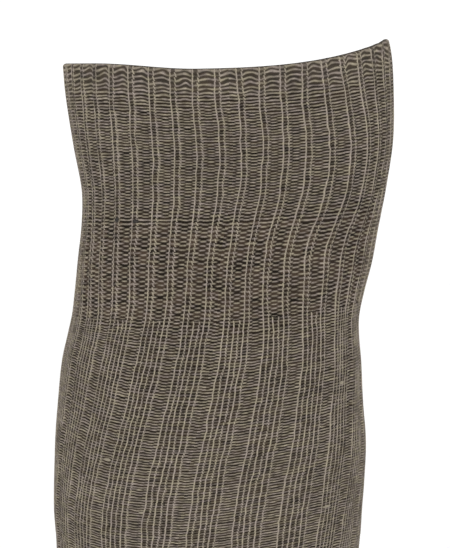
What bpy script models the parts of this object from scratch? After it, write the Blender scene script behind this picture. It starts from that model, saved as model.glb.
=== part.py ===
"""A long ribbed sock, worn: a hollow knitted tube from above the knee to the toe.

World frame, metres: +Z up, +X towards the toes, the origin in the middle of the narrow
place below the knee, where the sock grips the leg. The wall is lofted through sections:
level ones down the leg, a fan of them round the heel, and upright ones along the foot.
Ribs are raised in the wall's outer points, over a plain inside.
"""

import math
from collections import namedtuple

import bmesh
import bpy

MM = 0.001

# Driving dimensions, in millimetres and degrees.
LEG_REPEATS = 22          # three knit wales and one purl wale, this often round the leg
CUFF_RIBS = 2 * LEG_REPEATS   # one knit wale and one purl wale, this often round the cuff
SEAM_GAP = 0.3            # clear space between two pieces
CLOTH = 1.2               # wall of the single knit between its ribs
TURNED_CLOTH = 2.2        # wall of the welt, which is turned in and double
CUFF_RIB_RISE = 0.8
LEG_RIB_RISE = 0.7
CUFF_KNIT_SHARE = 0.40    # share of a cuff rib's pitch that the knit wale takes
LEG_KNIT_SHARE = 0.66     # share of a leg repeat's pitch that its knit wales take
RIB_SHOULDER_SHARE = 0.06     # share of a pitch in which the wall climbs onto a rib

WELT_BOTTOM = 36.5        # height of the line where the turned welt ends
CUFF_BOTTOM = 1.9         # height of the line where the cuff's rib turns into the leg's
RIM_RISE_FRONT = 11.2     # how far the rim climbs at the front of the knee
RIM_RISE_BACK = 1.2
RIM_RISE_POWER = 5        # how fast that rise dies away round the rim

HEEL_PIVOT_X = 62.0       # the heel's sections fan out from this line before the instep
HEEL_PIVOT_Z = -272.0
SOLE_Z = -387.0
SOLE_POWER = 0.7          # below 1, the underside of a foot section is flatter than round
TOE_LINE_X = 150.0        # where the foot ends and the toe pocket starts

WELT_STEP = 14.0          # about how far apart the sections are along each piece
CUFF_STEP = 11.0
LEG_STEP = 18.0
HEEL_STEP = 6.4           # in degrees of tilt
FOOT_STEP = 22.0
HALF_RING_COLUMNS = 29    # points from side to side under the foot

# Level sections of the leg, from the rim down: height, middle, half depth from front to
# back, half width from side to side, and how far the wales have turned round the leg.
Leg = namedtuple("Leg", "z x half_depth half_width twist")
LEG = [
    Leg(93.7, 4.8, 61.4, 58.5, 0.5),
    Leg(82.0, 5.4, 60.9, 58.0, 0.2),
    Leg(63.0, 6.9, 59.3, 56.8, -0.4),
    Leg(48.0, 7.1, 56.6, 54.6, -1.1),
    Leg(36.5, 5.8, 55.3, 53.4, -1.5),
    Leg(22.0, 3.7, 54.7, 52.6, -1.3),
    Leg(11.0, 1.7, 53.8, 51.8, -0.4),
    Leg(1.9, 0.2, 53.4, 51.4, 0.4),
    Leg(-5.0, -0.6, 54.1, 51.9, 0.5),
    Leg(-15.0, -1.3, 55.6, 53.0, -0.4),
    Leg(-30.0, -1.7, 56.7, 54.0, -2.7),
    Leg(-45.0, -1.7, 57.8, 54.8, -5.2),
    Leg(-60.0, -2.2, 57.7, 54.7, -8.0),
    Leg(-71.0, -2.6, 57.3, 54.4, -9.8),
    Leg(-82.0, -2.6, 56.5, 53.8, -11.3),
    Leg(-110.0, -3.7, 54.5, 51.8, -12.8),
    Leg(-145.0, -3.8, 51.2, 48.4, -11.5),
    Leg(-180.0, -3.4, 47.1, 44.0, -8.5),
    Leg(-215.0, -2.4, 42.6, 39.2, -5.0),
    Leg(-245.0, -1.1, 38.9, 34.8, -2.0),
    Leg(-272.0, -0.4, 36.6, 31.8, 0.0),
]

# Sections of the heel: tilt from level, how far the instep and the heel lie from the
# pivot along the tilted section, and the half width.
Fan = namedtuple("Fan", "tilt near far half_width")
HEEL = [
    Fan(0.0, 25.8, 99.0, 31.8),
    Fan(9.0, 26.2, 101.5, 32.3),
    Fan(18.0, 27.0, 107.5, 33.2),
    Fan(27.0, 28.3, 121.0, 33.8),
    Fan(35.0, 30.0, 137.5, 33.4),
    Fan(42.0, 31.8, 147.0, 32.8),
    Fan(49.0, 33.8, 146.0, 33.0),
    Fan(57.0, 36.2, 136.5, 34.0),
    Fan(66.0, 39.0, 126.0, 35.4),
    Fan(78.0, 42.4, 117.6, 37.0),
    Fan(90.0, 45.0, 115.0, 38.6),
]

# Upright sections of the foot: place along it, sole and top above the ground line, and
# the half width.
Foot = namedtuple("Foot", "x sole top half_width")
FOOT = [
    Foot(62.0, 0.0, 70.0, 38.6),
    Foot(80.0, 0.0, 63.8, 41.0),
    Foot(98.0, 0.0, 57.6, 43.6),
    Foot(116.0, 0.0, 51.4, 45.8),
    Foot(134.0, 0.0, 45.4, 46.6),
    Foot(150.0, 0.2, 40.0, 45.6),
    Foot(163.0, 0.6, 35.2, 42.2),
    Foot(174.0, 1.4, 30.4, 36.6),
    Foot(182.0, 2.6, 26.0, 29.6),
    Foot(187.5, 4.2, 22.0, 22.2),
    Foot(190.8, 6.6, 18.0, 14.0),
    Foot(192.0, 9.6, 14.4, 5.0),
]

# One plane across the sock: the direction of its front is tilted up from +X by tilt, and
# power is how its back half bends, 1 where it is an ellipse.
Section = namedtuple("Section", "x z tilt half_depth half_width twist power rim_share")


def clear_scene():
    for item in list(bpy.data.objects):
        bpy.data.objects.remove(item, do_unlink=True)


def between(rows, column, place):
    """The row at a place along one column, on a smooth curve through the table's rows.

    Each column is a cubic between its two neighbours, with the slopes that the rows on
    either side of them give.
    """
    rows = sorted(rows, key=lambda row: getattr(row, column))
    places = [getattr(row, column) for row in rows]
    start = max(index for index in range(len(rows) - 1) if places[index] <= place)
    span = places[start + 1] - places[start]
    share = (place - places[start]) / span
    before, after = max(start - 1, 0), min(start + 2, len(rows) - 1)
    into = span / (places[start + 1] - places[before])
    out = span / (places[after] - places[start])
    values = []
    for left, low, high, right in zip(rows[before], rows[start], rows[start + 1], rows[after]):
        slope, end_slope = (high - left) * into, (right - low) * out
        rise = high - low
        bend = share * (1 - share) * (
            (1 - share) * (slope - rise) - share * (end_slope - rise)
        )
        values.append(low + share * rise + bend)
    return type(rows[0])(*values)


def spaced(start, end, step):
    """Evenly spaced places from start to end, about a step apart."""
    count = max(1, round(abs(end - start) / step))
    return [start + (end - start) * index / count for index in range(count + 1)]


def leg_sections(top, bottom, step):
    """Level sections of the leg between two heights."""
    rows = [between(LEG, "z", height) for height in spaced(top, bottom, step)]
    return [
        Section(row.x, row.z, 0.0, row.half_depth, row.half_width, row.twist, 1.0, 0.0)
        for row in rows
    ]


def heel_sections(start, end):
    """Sections through the pivot line, tilted from level at 0 to upright at 90 degrees."""
    sections = []
    for tilt in spaced(start, end, HEEL_STEP):
        row = between(HEEL, "tilt", tilt)
        middle, turn = (row.near + row.far) / 2, math.radians(tilt)
        x = HEEL_PIVOT_X - middle * math.cos(turn)
        z = HEEL_PIVOT_Z - middle * math.sin(turn)
        power = 1 - (1 - SOLE_POWER) * math.sin(turn) ** 4
        half_depth = (row.far - row.near) / 2
        sections.append(Section(x, z, tilt, half_depth, row.half_width, 0.0, power, 0.0))
    return sections


def foot_sections(places):
    """Upright sections of the foot at places along it."""
    sections = []
    for place in places:
        row = between(FOOT, "x", place)
        z = SOLE_Z + (row.top + row.sole) / 2
        half_depth = (row.top - row.sole) / 2
        section = Section(place, z, 90.0, half_depth, row.half_width, 0.0, SOLE_POWER, 0.0)
        sections.append(section)
    return sections


def rim_rise(angle):
    """The rim's height over its lowest place: it climbs to the front, a little to the back."""
    front = ((1 + math.cos(angle)) / 2) ** RIM_RISE_POWER
    back = ((1 - math.cos(angle)) / 2) ** RIM_RISE_POWER
    return RIM_RISE_FRONT * front + RIM_RISE_BACK * back


def wall_point(section, angle, outwards):
    """A point at an angle from the section's front, moved outwards along the ring's normal.

    The ring is an ellipse whose back half is raised to the section's power.
    """
    turned = angle + math.radians(section.twist)
    front, side = math.cos(turned), math.sin(turned)
    power = section.power if front < 0 else 1.0
    normal_along = section.half_width * math.copysign(abs(front) ** (2 - power), front)
    normal_across = section.half_depth * side * power
    move = outwards / math.hypot(normal_along, normal_across)
    reach = math.copysign(abs(front) ** power, front)
    along = section.half_depth * reach + move * normal_along
    across = section.half_width * side + move * normal_across
    tilt = math.radians(section.tilt)
    x = section.x + along * math.cos(tilt)
    z = section.z + along * math.sin(tilt) + section.rim_share * rim_rise(turned)
    return x * MM, across * MM, z * MM


def rib_columns(first_angle, pitches, pitch, knit_share, rise):
    """Four columns a rib, as (angle, height): the purl wale, then up onto the knit wales.

    first_angle is the middle of a purl wale, and so is each whole pitch after it.
    """
    half_purl = (1 - knit_share) / 2
    columns = []
    for index in range(pitches):
        start = first_angle + index * pitch
        columns.append((start + pitch * half_purl, 0.0))
        columns.append((start + pitch * (half_purl + RIB_SHOULDER_SHARE), rise))
        columns.append((start + pitch * (1 - half_purl - RIB_SHOULDER_SHARE), rise))
        columns.append((start + pitch * (1 - half_purl), 0.0))
    return columns


def plain_columns(start, end, count):
    """Evenly spaced columns of one height, both ends included."""
    step = (end - start) / (count - 1)
    return [(start + step * index, 0.0) for index in range(count)]


def bridge(inner, outer, every):
    """Triangles between an inner edge and an outer edge with more points in each stretch."""
    faces = []
    for index in range(len(inner) - 1):
        stretch = outer[index * every:(index + 1) * every + 1]
        turn = every // 2
        for left, right in zip(stretch[:turn], stretch[1:turn + 1]):
            faces.append((inner[index], left, right))
        faces.append((inner[index], stretch[turn], inner[index + 1]))
        for left, right in zip(stretch[turn:], stretch[turn + 1:]):
            faces.append((inner[index + 1], left, right))
    return faces


def quads(grid):
    """Faces between neighbouring rows and columns of a grid of point numbers."""
    return [
        (upper[i], upper[i + 1], lower[i + 1], lower[i])
        for upper, lower in zip(grid, grid[1:])
        for i in range(len(upper) - 1)
    ]


def add_wall(name, sections, columns, every, base, cloth, closed, capped, material, group):
    """A closed wall: an outer grid with the ribs, an inner grid with fewer columns, edges.

    sections run down the sock and columns round it. base is how far the outer wall
    between ribs lies inside the section's size. A closed wall goes all the way round. A
    capped one is shut at its last section, where its inside is set back by the cloth.
    """
    points, outer, inner = [], [], []

    def row_of(section, chosen, depth):
        first = len(points)
        points.extend(
            wall_point(section, angle, rise - depth) for angle, rise in chosen
        )
        row = list(range(first, len(points)))
        return row + row[:1] if closed else row

    for section in sections:
        outer.append(row_of(section, columns, base))
    plain = [(angle, 0.0) for angle, _ in columns[::every]]
    for index, section in enumerate(sections):
        set_back = cloth * index / (len(sections) - 1) if capped else 0.0
        inside = section._replace(x=section.x - set_back)
        inner.append(row_of(inside, plain, base + cloth))
    faces = quads(outer) + quads(inner)
    faces += bridge(inner[0], outer[0], every)
    if capped:
        faces += [tuple(outer[-1][:-1]), tuple(inner[-1][:-1])]
    else:
        faces += bridge(inner[-1], outer[-1], every)
    if not closed:
        for side in (0, -1):
            edge = [[row[side] for row in inner], [row[side] for row in outer]]
            faces += quads(edge)
    mesh = bpy.data.meshes.new(name)
    mesh.from_pydata(points, [], faces)
    shell = bmesh.new()
    shell.from_mesh(mesh)
    bmesh.ops.recalc_face_normals(shell, faces=shell.faces)
    shell.to_mesh(mesh)
    shell.free()
    mesh.materials.append(material)
    mesh.shade_smooth()
    mesh.set_sharp_from_angle(angle=math.radians(50))
    piece = bpy.data.objects.new(name, mesh)
    group.objects.link(piece)
    return piece


def yarn(name, colour):
    """Matt spun yarn: a rough Principled surface of one colour."""
    material = bpy.data.materials.new(name)
    material.use_nodes = True
    shader = material.node_tree.nodes["Principled BSDF"]
    shader.inputs["Base Color"].default_value = (*colour, 1.0)
    shader.inputs["Roughness"].default_value = 0.92
    shader.inputs["Metallic"].default_value = 0.0
    return material


def make_welt(group):
    """The turned double hem that grips above the knee, in single ribs, with its risen rim."""
    rows = leg_sections(LEG[0].z, WELT_BOTTOM, WELT_STEP)
    height = LEG[0].z - WELT_BOTTOM
    rows = [row._replace(rim_share=(row.z - WELT_BOTTOM) / height) for row in rows]
    pitch = 2 * math.pi / CUFF_RIBS
    columns = rib_columns(-math.pi / 2, CUFF_RIBS, pitch, CUFF_KNIT_SHARE, CUFF_RIB_RISE)
    add_wall("welt", rows, columns, 4, CUFF_RIB_RISE, TURNED_CLOTH, True, False,
             yarn("welt_yarn", (0.150, 0.125, 0.098)), group)


def make_cuff(group):
    """The single layer of the same rib below the welt."""
    rows = leg_sections(WELT_BOTTOM - SEAM_GAP, CUFF_BOTTOM, CUFF_STEP)
    pitch = 2 * math.pi / CUFF_RIBS
    columns = rib_columns(-math.pi / 2, CUFF_RIBS, pitch, CUFF_KNIT_SHARE, CUFF_RIB_RISE)
    add_wall("cuff", rows, columns, 4, CUFF_RIB_RISE, CLOTH, True, False,
             yarn("cuff_yarn", (0.142, 0.116, 0.092)), group)


def make_leg(group):
    """The long tube over the calf to the ankle, in ribs of three knit wales and one purl."""
    rows = leg_sections(CUFF_BOTTOM - SEAM_GAP, HEEL_PIVOT_Z + SEAM_GAP / 2, LEG_STEP)
    pitch = 2 * math.pi / LEG_REPEATS
    columns = rib_columns(-math.pi / 2, LEG_REPEATS, pitch, LEG_KNIT_SHARE, LEG_RIB_RISE)
    add_wall("leg", rows, columns, 2, LEG_RIB_RISE, CLOTH, True, False,
             yarn("leg_yarn", (0.152, 0.126, 0.098)), group)


def past_the_side():
    """How far from the side line an edge stands, so that two edges leave the seam's gap."""
    return SEAM_GAP / 2 / ((HEEL[0].far - HEEL[0].near) / 2)


def make_instep(group):
    """The ribbed top of the foot, from the ankle's front over the instep to the toe line."""
    clear_tilt = math.degrees(SEAM_GAP / 2 / HEEL[0].near)
    rows = heel_sections(clear_tilt, HEEL[-1].tilt)
    rows += foot_sections(spaced(FOOT[0].x, TOE_LINE_X - SEAM_GAP / 2, FOOT_STEP)[1:])
    edge = math.pi / 2 - past_the_side()
    pitch = math.pi / (LEG_REPEATS // 2)
    ribs = rib_columns(-math.pi / 2, LEG_REPEATS // 2, pitch, LEG_KNIT_SHARE, LEG_RIB_RISE)
    # A column beside the last edge makes the number of stretches even for the inside.
    beside_edge = ((ribs[-1][0] + edge) / 2, 0.0)
    columns = [(-edge, 0.0), *ribs, beside_edge, (edge, 0.0)]
    add_wall("instep", rows, columns, 2, LEG_RIB_RISE, CLOTH, False, False,
             yarn("instep_yarn", (0.152, 0.126, 0.098)), group)


def make_heel(group):
    """The heel pocket, knitted to and fro over the back half of the sock."""
    clear_tilt = math.degrees(SEAM_GAP / 2 / HEEL[0].near)
    rows = heel_sections(clear_tilt, HEEL[-1].tilt - clear_tilt / 2)
    edge = math.pi / 2 + past_the_side()
    columns = plain_columns(edge, 2 * math.pi - edge, HALF_RING_COLUMNS)
    add_wall("heel", rows, columns, 2, LEG_RIB_RISE, CLOTH, False, False,
             yarn("heel_yarn", (0.148, 0.122, 0.096)), group)


def make_sole(group):
    """The plain knit underside of the foot, from the heel pocket to the toe line."""
    start, end = FOOT[0].x + SEAM_GAP / 2, TOE_LINE_X - SEAM_GAP / 2
    rows = foot_sections(spaced(start, end, FOOT_STEP))
    edge = math.pi / 2 + past_the_side()
    columns = plain_columns(edge, 2 * math.pi - edge, HALF_RING_COLUMNS)
    add_wall("sole", rows, columns, 2, LEG_RIB_RISE, CLOTH, False, False,
             yarn("sole_yarn", (0.148, 0.122, 0.096)), group)


def make_toe(group):
    """The plain knit toe pocket, closed at its tip."""
    start = TOE_LINE_X + SEAM_GAP / 2
    rows = foot_sections([start, *(row.x for row in FOOT if row.x > start)])
    ring = 2 * (HALF_RING_COLUMNS - 1) + 1
    columns = plain_columns(-math.pi / 2, 3 * math.pi / 2, ring)[:-1]
    add_wall("toe", rows, columns, 2, LEG_RIB_RISE, CLOTH, True, True,
             yarn("toe_yarn", (0.148, 0.122, 0.096)), group)


clear_scene()
sock = bpy.data.collections.new("long_sock")
bpy.context.scene.collection.children.link(sock)
make_welt(sock)
make_cuff(sock)
make_leg(sock)
make_instep(sock)
make_heel(sock)
make_sole(sock)
make_toe(sock)
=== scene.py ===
"""The looks of a long ribbed sock, worn and open at the top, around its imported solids.

World frame, metres: +Z up, +X towards the toes, the origin in the middle of the cuff's
narrow place. The cloth is worked out in millimetres on a grid of needles (wales, round the
sock) and courses (rows, counted up from the line where the cuff's rib meets the leg's).
"""

import math

import bpy
import numpy as np
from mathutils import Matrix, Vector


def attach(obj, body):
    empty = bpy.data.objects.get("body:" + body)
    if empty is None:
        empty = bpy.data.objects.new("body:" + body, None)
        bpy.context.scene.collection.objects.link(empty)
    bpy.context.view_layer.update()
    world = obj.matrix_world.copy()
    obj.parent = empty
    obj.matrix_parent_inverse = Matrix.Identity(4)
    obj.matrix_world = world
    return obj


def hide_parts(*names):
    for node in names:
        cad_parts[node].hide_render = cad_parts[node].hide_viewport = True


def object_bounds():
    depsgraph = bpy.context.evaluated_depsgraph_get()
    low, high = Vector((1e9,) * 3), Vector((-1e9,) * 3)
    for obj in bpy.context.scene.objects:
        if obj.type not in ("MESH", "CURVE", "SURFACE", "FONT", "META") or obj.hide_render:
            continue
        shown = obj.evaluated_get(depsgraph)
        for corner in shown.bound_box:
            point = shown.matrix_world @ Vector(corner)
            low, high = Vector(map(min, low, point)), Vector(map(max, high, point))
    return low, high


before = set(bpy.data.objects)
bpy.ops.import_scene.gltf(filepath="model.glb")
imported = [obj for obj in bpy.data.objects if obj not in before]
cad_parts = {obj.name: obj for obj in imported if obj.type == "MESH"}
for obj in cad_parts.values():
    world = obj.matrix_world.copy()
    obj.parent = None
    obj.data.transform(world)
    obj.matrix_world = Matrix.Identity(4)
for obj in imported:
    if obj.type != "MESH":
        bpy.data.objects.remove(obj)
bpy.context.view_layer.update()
MM = 0.001

# ---------------------------------------------------------------------------------------
# The welt: the turned double hem at the top. It is knitted in single rib of a matt
# grey-brown yarn, folded over at the rim and linked down inside, so its open top edge is a
# rounded fold. The rim stands highest at the front.
# ---------------------------------------------------------------------------------------
NEEDLES = 88              # wales round the sock
WELT_REPEAT = 2           # one purl needle in two
HEM_COURSE, RIM_COURSE = 23.0, 70.0
HEM_HEIGHT = 38.0
WELT_CLOTH = 2.2          # the two layers together
WELT_RIB = 1.0            # how far the knit wales stand over the purl wales
RIM_TOP = 93.7            # height of the rim before it climbs
RIM_FRONT, RIM_POWER = 11.5, 4.7        # its climb to the front, and how fast that dies away
RIM_BACK, RIM_BACK_REACH = 2.3, (0.60, 0.92)    # its climb behind, over these shares round
RIM_LEAN, RIM_LEAN_POWER = 2.2, 10      # how far its front corner leans in
LINE_PLACE = 0.246        # a knit stitch's two sides run this far from its needle's middle
BAND_HALF = 1 - LINE_PLACE    # half the width of the band of purl bars, in needles
BAR_HALF = 0.41           # half a bar's thickness with its soft edge, in courses of 1 mm
BAR_POWER = 0.6           # longer courses have thinner bars by this power of their length
RIM_BARS = 0.2            # and those at the rim are thicker again by this share
RIDGE_WIDTH = 0.15        # of a knit stitch's side, in needles
RIDGE_RISE, BAR_RISE, BAND_RISE = 0.20, 0.09, 0.08    # of sides, bars, bars in a purl band

# Level sections of the welt, cuff and leg: height, middle, half depth, half width, turn of
# the wales in degrees.
LEG = np.array([
    (93.7, 4.8, 61.4, 58.5, 0.5),
    (82.0, 5.4, 60.9, 58.0, 0.2),
    (63.0, 6.9, 59.3, 56.8, -0.4),
    (48.0, 7.1, 56.6, 54.6, -1.1),
    (36.5, 5.8, 55.3, 53.4, -1.5),
    (22.0, 3.7, 54.7, 52.6, -1.3),
    (11.0, 1.7, 53.8, 51.8, -0.4),
    (1.9, 0.2, 53.4, 51.4, 0.4),
    (-5.0, -0.6, 54.1, 51.9, 0.5),
    (-15.0, -1.3, 55.6, 53.0, -0.4),
    (-30.0, -1.7, 56.7, 54.0, -2.7),
    (-45.0, -1.7, 57.8, 54.8, -5.2),
    (-60.0, -2.2, 57.7, 54.7, -8.0),
    (-71.0, -2.6, 57.3, 54.4, -9.8),
    (-82.0, -2.6, 56.5, 53.8, -11.3),
    (-110.0, -3.7, 54.5, 51.8, -12.8),
    (-145.0, -3.8, 51.2, 48.4, -11.5),
    (-180.0, -3.4, 47.1, 44.0, -8.5),
    (-215.0, -2.4, 42.6, 39.2, -5.0),
    (-245.0, -1.1, 38.9, 34.8, -2.0),
    (-272.0, -0.4, 36.6, 31.8, 0.0),
])
# Courses and their heights: long loose loops at the rim, then close, open, close again.
COURSES = np.array([
    (70.0, 92.0),
    (66.5, 86.0),
    (59.5, 77.6),
    (45.2, 62.7),
    (31.6, 47.9),
    (23.0, 38.0),
    (11.5, 19.9),
    (0.0, 1.9),
    (-17.7, -18.6),
    (-34.7, -37.0),
    (-53.6, -56.0),
    (-72.6, -74.0),
    (-90.5, -90.6),
    (-136.0, -134.0),
    (-181.0, -180.0),
    (-226.0, -226.0),
    (-272.0, -272.0),
])
# How far a course climbs to the front and to the back of the sock, at some heights.
LIFTS = np.array([
    (93.7, 0.0, 0.0),
    (38.0, 3.0, -1.5),
    (1.9, 5.3, 0.0),
    (-12.0, 7.4, 6.4),
    (-30.0, 8.5, 10.3),
    (-95.0, 8.5, 10.3),
    (-150.0, 6.0, 7.0),
    (-240.0, 0.0, 0.0),
    (-272.0, 0.0, 0.0),
])
LIFT_POWER_FRONT, LIFT_POWER_BACK = 1.45, 3.0
# How far the wales are pulled round the sock, in degrees, at some heights: one column for
# each of five angles from the front, felt as far as the reach. The far side has the
# mirror image of the near side's pulls, a little weaker.
PULL_ANGLES = (-148.0, -120.0, -92.0, -64.0, -36.0)
PULL_REACH = 21.0
FAR_SHARE = -0.8
PULLS = np.array([
    (100.0, -0.2, 1.2, -0.1, -1.9, -3.0),
    (88.3, -0.5, 1.1, -0.1, -1.9, -1.8),
    (64.0, -2.7, 0.7, 0.5, -2.1, 4.2),
    (45.8, -3.8, -0.3, 0.2, -1.9, 5.0),
    (27.5, -2.8, 0.7, -0.1, -3.3, 0.0),
    (9.2, -1.1, 0.9, 0.3, -2.2, 2.2),
    (-2.9, -0.6, 0.6, 0.0, -0.6, 3.0),
    (-27.3, 0.4, -0.3, -0.3, -0.3, 2.4),
    (-51.6, -1.2, -2.0, -0.6, -1.2, 2.3),
    (-75.7, -1.7, -2.5, 0.3, -0.4, 3.4),
    (-120.0, 1.0, 2.0, -1.0, 1.5, 1.0),
    (-165.0, -1.5, -1.0, 1.0, -1.5, 0.5),
    (-215.0, 0.5, 0.5, -0.5, 0.5, 0.0),
    (-272.0, 0.0, 0.0, 0.0, 0.0, 0.0),
])


def along(table, place):
    """Every column of a table at the places given, on a smooth curve through its rows.

    Between two rows each column is a cubic with the slopes that its neighbours give.
    """
    rows = table[np.argsort(table[:, 0])]
    key = rows[:, 0]
    at = np.clip(place, key[0], key[-1])
    start = np.clip(np.searchsorted(key, at, side="right") - 1, 0, len(key) - 2)
    before, after = np.maximum(start - 1, 0), np.minimum(start + 2, len(key) - 1)
    span = key[start + 1] - key[start]
    share = ((at - key[start]) / span)[..., None]
    left, low, high, right = rows[before], rows[start], rows[start + 1], rows[after]
    slope = (high - left) * (span / (key[start + 1] - key[before]))[..., None]
    end_slope = (right - low) * (span / (key[after] - key[start]))[..., None]
    rise = high - low
    bend = share * (1 - share) * ((1 - share) * (slope - rise) - share * (end_slope - rise))
    return low + share * rise + bend


def smooth(low, high, value):
    """0 below low, 1 above high, and between them 3 t squared less 2 t cubed."""
    share = np.clip((value - low) / (high - low), 0, 1)
    return share * share * (3 - 2 * share)


def wall(x, z, tilt, deep, wide, power, angle, out):
    """Places on a ring of the sock, in millimetres, as three arrays in the last axis.

    The ring is an ellipse in a plane whose front is tilted up from +X, its back half
    raised to a power, and each place is moved out along the ring's own normal.
    """
    front, side = np.cos(angle), np.sin(angle)
    bent = np.where(front < 0, power, 1.0)
    to_front = wide * np.sign(front) * np.abs(front) ** (2 - bent)
    to_side = deep * side * bent
    move = out / np.hypot(to_front, to_side)
    forth = deep * np.sign(front) * np.abs(front) ** bent + move * to_front
    across = wide * side + move * to_side
    places = (x + forth * np.cos(tilt), across, z + forth * np.sin(tilt))
    return np.stack(np.broadcast_arrays(*places), axis=-1)


def round_angle(needle):
    """A needle's share of the round as an angle from the front, the first at the side."""
    return -np.pi / 2 + 2 * np.pi * needle / NEEDLES


def leg_place(needle, course, out, above=0.0):
    """Places above the foot for needles and courses, moved out from the section's size.

    A course lies level at the side and climbs to the front and back by a power of the
    angle's cosine. A needle's angle is its share of the round, with the section's turn
    and the pulls, each a bell over the angle. Over the welt the rim's own climbs come in.
    """
    height = along(COURSES, course)[..., 1]
    plain = round_angle(needle)
    front = np.cos(plain)
    lift = along(LIFTS, height)
    height = height + lift[..., 1] * np.clip(front, 0, 1) ** LIFT_POWER_FRONT
    height = height + lift[..., 2] * np.clip(-front, 0, 1) ** LIFT_POWER_BACK
    row = along(LEG, height)
    angle = plain + np.radians(row[..., 4])
    pulls = along(PULLS, height)
    for column, pull_angle in enumerate(PULL_ANGLES, start=1):
        for centre, weight in ((pull_angle, 1.0), (-pull_angle, FAR_SHARE)):
            away = np.mod(np.degrees(plain) - centre + 180, 360) - 180
            bell = np.exp(-(away / PULL_REACH) ** 2)
            angle = angle + np.radians(weight * pulls[..., column]) * bell
    share = np.clip((height - HEM_HEIGHT) / (RIM_TOP - HEM_HEIGHT), 0, 1)
    climb = RIM_FRONT * ((1 + np.cos(angle)) / 2) ** RIM_POWER
    lean = RIM_LEAN * (share * climb / RIM_FRONT) ** RIM_LEAN_POWER
    climb = climb + RIM_BACK * smooth(*RIM_BACK_REACH, (1 - np.cos(angle)) / 2)
    places = wall(row[..., 1], height, 0.0, row[..., 2], row[..., 3], 1.0, angle, out)
    places[..., 0] -= lean
    places[..., 2] += share * climb + above
    return places


def purl_distance(needle, repeat):
    """How many needles away the nearest purl needle is: those at multiples of repeat."""
    inside = np.mod(needle, repeat)
    return np.minimum(inside, repeat - inside)


def relief(needle, course, repeat, rib, sway, spread=1.0):
    """How far the knitted surface stands out, in millimetres, at needles and courses.

    Ribs rise smoothly from the purl wales. The two sides of a knit stitch are ridges, a
    bell across, and the bars between them are a cosine of the course, shifted by the
    sway where a bar bends down in the middle of its band.
    """
    away = purl_distance(needle, repeat)
    across = np.abs(needle - np.round(needle))
    ridge = np.exp(-((across - LINE_PLACE * spread) / RIDGE_WIDTH) ** 2) * (away > 0.49)
    phase = course + sway * np.cos(np.pi * np.minimum(away / BAND_HALF, 1))
    bars = -np.cos(2 * np.pi * phase) * (1 - 0.85 * ridge)
    band = smooth(BAND_HALF, 0.5, away)
    height = RIDGE_RISE * (ridge - 0.5) + bars * (BAR_RISE + BAND_RISE * band)
    return height - rib * (1 - smooth(0.28, 0.72, away))


def strip(inner, outer, every, flip):
    """Triangles between an inner edge and an outer edge that has more points.

    Each inner stretch takes every outer points: a fan from its first point over the first
    half of them, one triangle across, and a fan from its second point over the rest.
    """
    turn = every // 2
    stretch = np.arange(len(inner) - 1)[:, None]
    step = np.arange(every)[None, :]
    first = np.broadcast_to(outer[stretch * every + step], (len(inner) - 1, every))
    second = outer[stretch * every + step + 1]
    centre = inner[stretch + (step >= turn)]
    fans = np.stack([second, first, centre], axis=-1).reshape(-1, 3)
    spans = np.stack([inner[:-1], inner[1:], outer[stretch[:, 0] * every + turn]], axis=-1)
    faces = np.concatenate([fans, spans])
    return faces[:, ::-1] if flip else faces


def quads(numbers):
    """Faces between neighbouring rows and columns of a grid of numbers."""
    return np.stack([
        numbers[:-1, :-1], numbers[:-1, 1:], numbers[1:, 1:], numbers[1:, :-1],
    ], axis=-1).reshape(-1, 4)


def flat_map(rows, columns, low, high):
    """A grid laid out flat in the unit square, between two heights of it."""
    across, up = np.meshgrid(np.linspace(0.004, 0.996, columns), np.linspace(low, high, rows))
    return np.stack([across, up], axis=-1).reshape(-1, 2)


def add_object(name, data):
    """A new object of the data given, in the scene."""
    made = bpy.data.objects.new(name, data)
    bpy.context.scene.collection.objects.link(made)
    return made


def face_out(points, vertex, squares):
    """The order in which corners make faces that look outwards: as given, or turned round.

    The first corners belong to the squares and the rest to triangles. With every square
    cut in two, the sum of a . (b x c) over the triangles is six times the volume, and
    positive where they look outwards.
    """
    fours = np.arange(squares * 4).reshape(-1, 4)
    threes = np.arange(squares * 4, len(vertex)).reshape(-1, 3)
    triangles = points[vertex[np.concatenate([fours[:, [0, 1, 2]], fours[:, [0, 2, 3]], threes])]]
    volume = (triangles[:, 0] * np.cross(triangles[:, 1], triangles[:, 2])).sum()
    turn = 1 if volume > 0 else -1
    return np.concatenate([fours[:, ::turn].ravel(), threes[:, ::turn].ravel()])


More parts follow.
